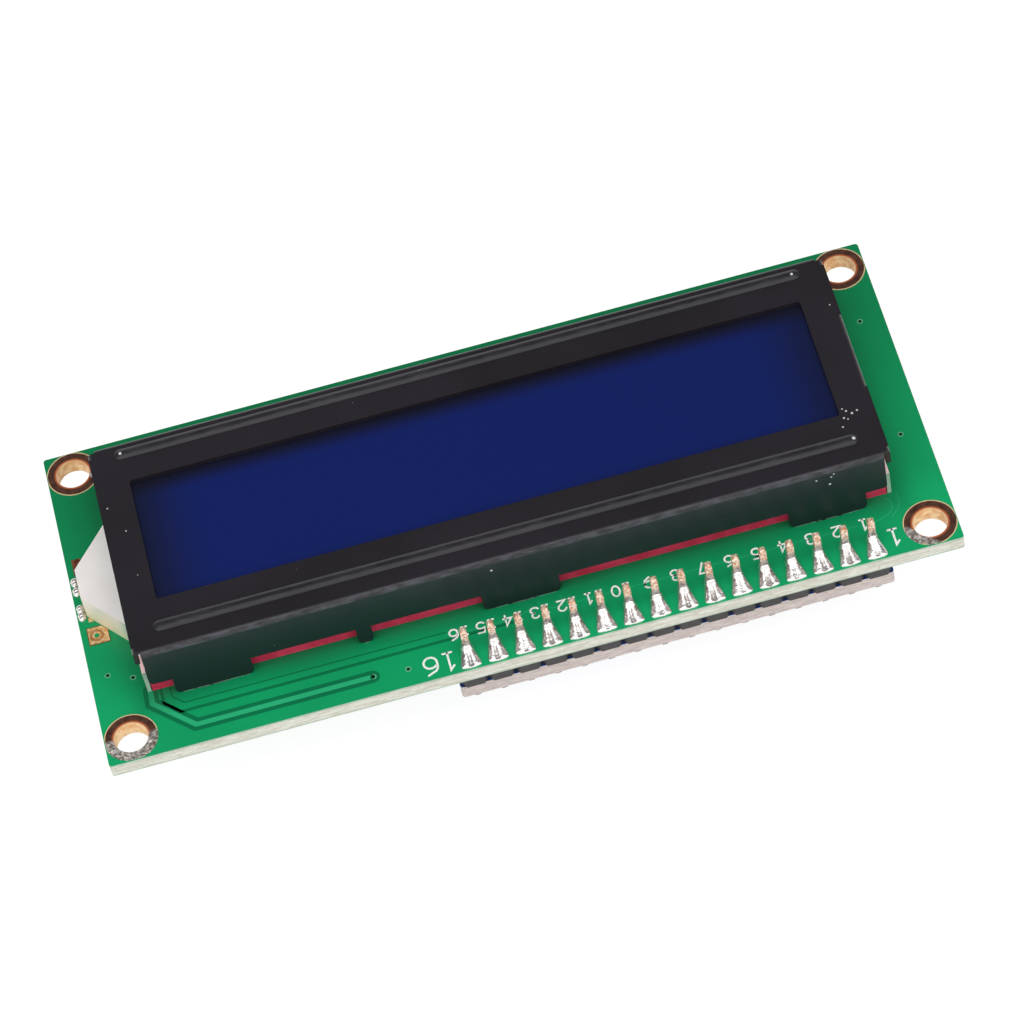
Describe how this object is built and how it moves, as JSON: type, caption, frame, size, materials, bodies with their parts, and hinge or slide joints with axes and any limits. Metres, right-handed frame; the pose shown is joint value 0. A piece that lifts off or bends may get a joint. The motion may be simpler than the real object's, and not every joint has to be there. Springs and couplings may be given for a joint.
{
  "type": "character lcd module",
  "caption": "Character display module: a black sheet-metal bezel round a blue window on a green board, with a pin row, an elastomer-contacted glass stack and a serial adapter board behind it.",
  "frame": {"origin": "middle of the four mounting holes, on the front face of the main board", "axes": "+Z out of the display towards the reader, +Y up the display as it is read (towards the pin row), +X to the reader's right"},
  "size_m": [0.08, 0.036, 0.0182],
  "materials": {
    "main_mask": "glossy green solder mask over a glass-fibre laminate with bare pale edges",
    "land_copper": "tarnished dark brown copper land, brighter in the plated hole",
    "pad_gold": "gold-flashed copper pad",
    "bezel_paint": "satin black paint on bent sheet steel, bare at the cut edges",
    "display_film": "deep blue display film that darkens towards its edges",
    "glass": "clear ground-edge glass",
    "grey_film": "grey polarizing film",
    "white_film": "white film",
    "elastomer": "pink silicone elastomer",
    "guide_plastic": "warm white moulded plastic",
    "lamp": "cream lamp body with a phosphor lens",
    "solder": "bright smooth solder",
    "resin": "black epoxy resin",
    "chip_parts": "black coated ceramic with tinned ends",
    "chip_caps": "tan ceramic with tinned ends",
    "header_plastic": "black moulded header plastic",
    "pin_metal": "tinned copper-alloy pin with solder on it",
    "pin_gold": "gold-plated brass pin",
    "adapter_mask": "glossy blue solder mask over a pale laminate",
    "chip_plastic": "black moulded epoxy",
    "lead_metal": "tinned leads",
    "trimmer_plastic": "blue moulded plastic",
    "rotor_plastic": "cream moulded rotor with a cross slot",
    "cap_plastic": "black moulded cap"
  },
  "bodies": {
    "module": {"main_board": "main_mask", "hole_lands": "land_copper", "test_pads": "pad_gold", "bezel": "bezel_paint", "front_polarizer": "display_film", "front_glass": "glass", "rear_glass": "glass", "rear_polarizer": "grey_film", "contact_strip_upper": "elastomer", "contact_strip_lower": "elastomer", "diffuser_film": "white_film", "light_guide": "guide_plastic", "reflector_film": "white_film", "backlight_led": "lamp", "led_solder": "solder", "controller_blob": "resin", "driver_blob": "resin", "board_resistors": "chip_parts", "board_capacitors": "chip_caps", "header_strip": "header_plastic", "header_pins": "pin_metal", "front_solder": "solder", "adapter_board": "adapter_mask", "adapter_solder": "solder", "expander_chip": "chip_plastic", "expander_leads": "lead_metal", "trimmer_body": "trimmer_plastic", "trimmer_pins": "lead_metal", "plug_header": "header_plastic", "plug_pins": "pin_gold", "jumper_header": "header_plastic", "jumper_pins": "pin_gold", "leg_solder": "solder", "adapter_resistors": "chip_parts", "adapter_capacitors": "chip_caps", "status_led": "lamp", "transistor": "chip_plastic"},
    "rotor": {"trimmer_rotor": "rotor_plastic"},
    "shorting_cap": {"jumper_cap": "cap_plastic"}
  },
  "joints": [
    {"name": "contrast_turn", "type": "hinge", "parent": "module", "child": "rotor", "pos_m": [-0.00375, 0.00475, -0.0106], "axis": [0, 0, -1], "range_deg": [-120, 120]},
    {"name": "cap_pull", "type": "slide", "parent": "module", "child": "shorting_cap", "axis": [1, 0, 0], "range_m": [0, 0.006]}
  ]
}
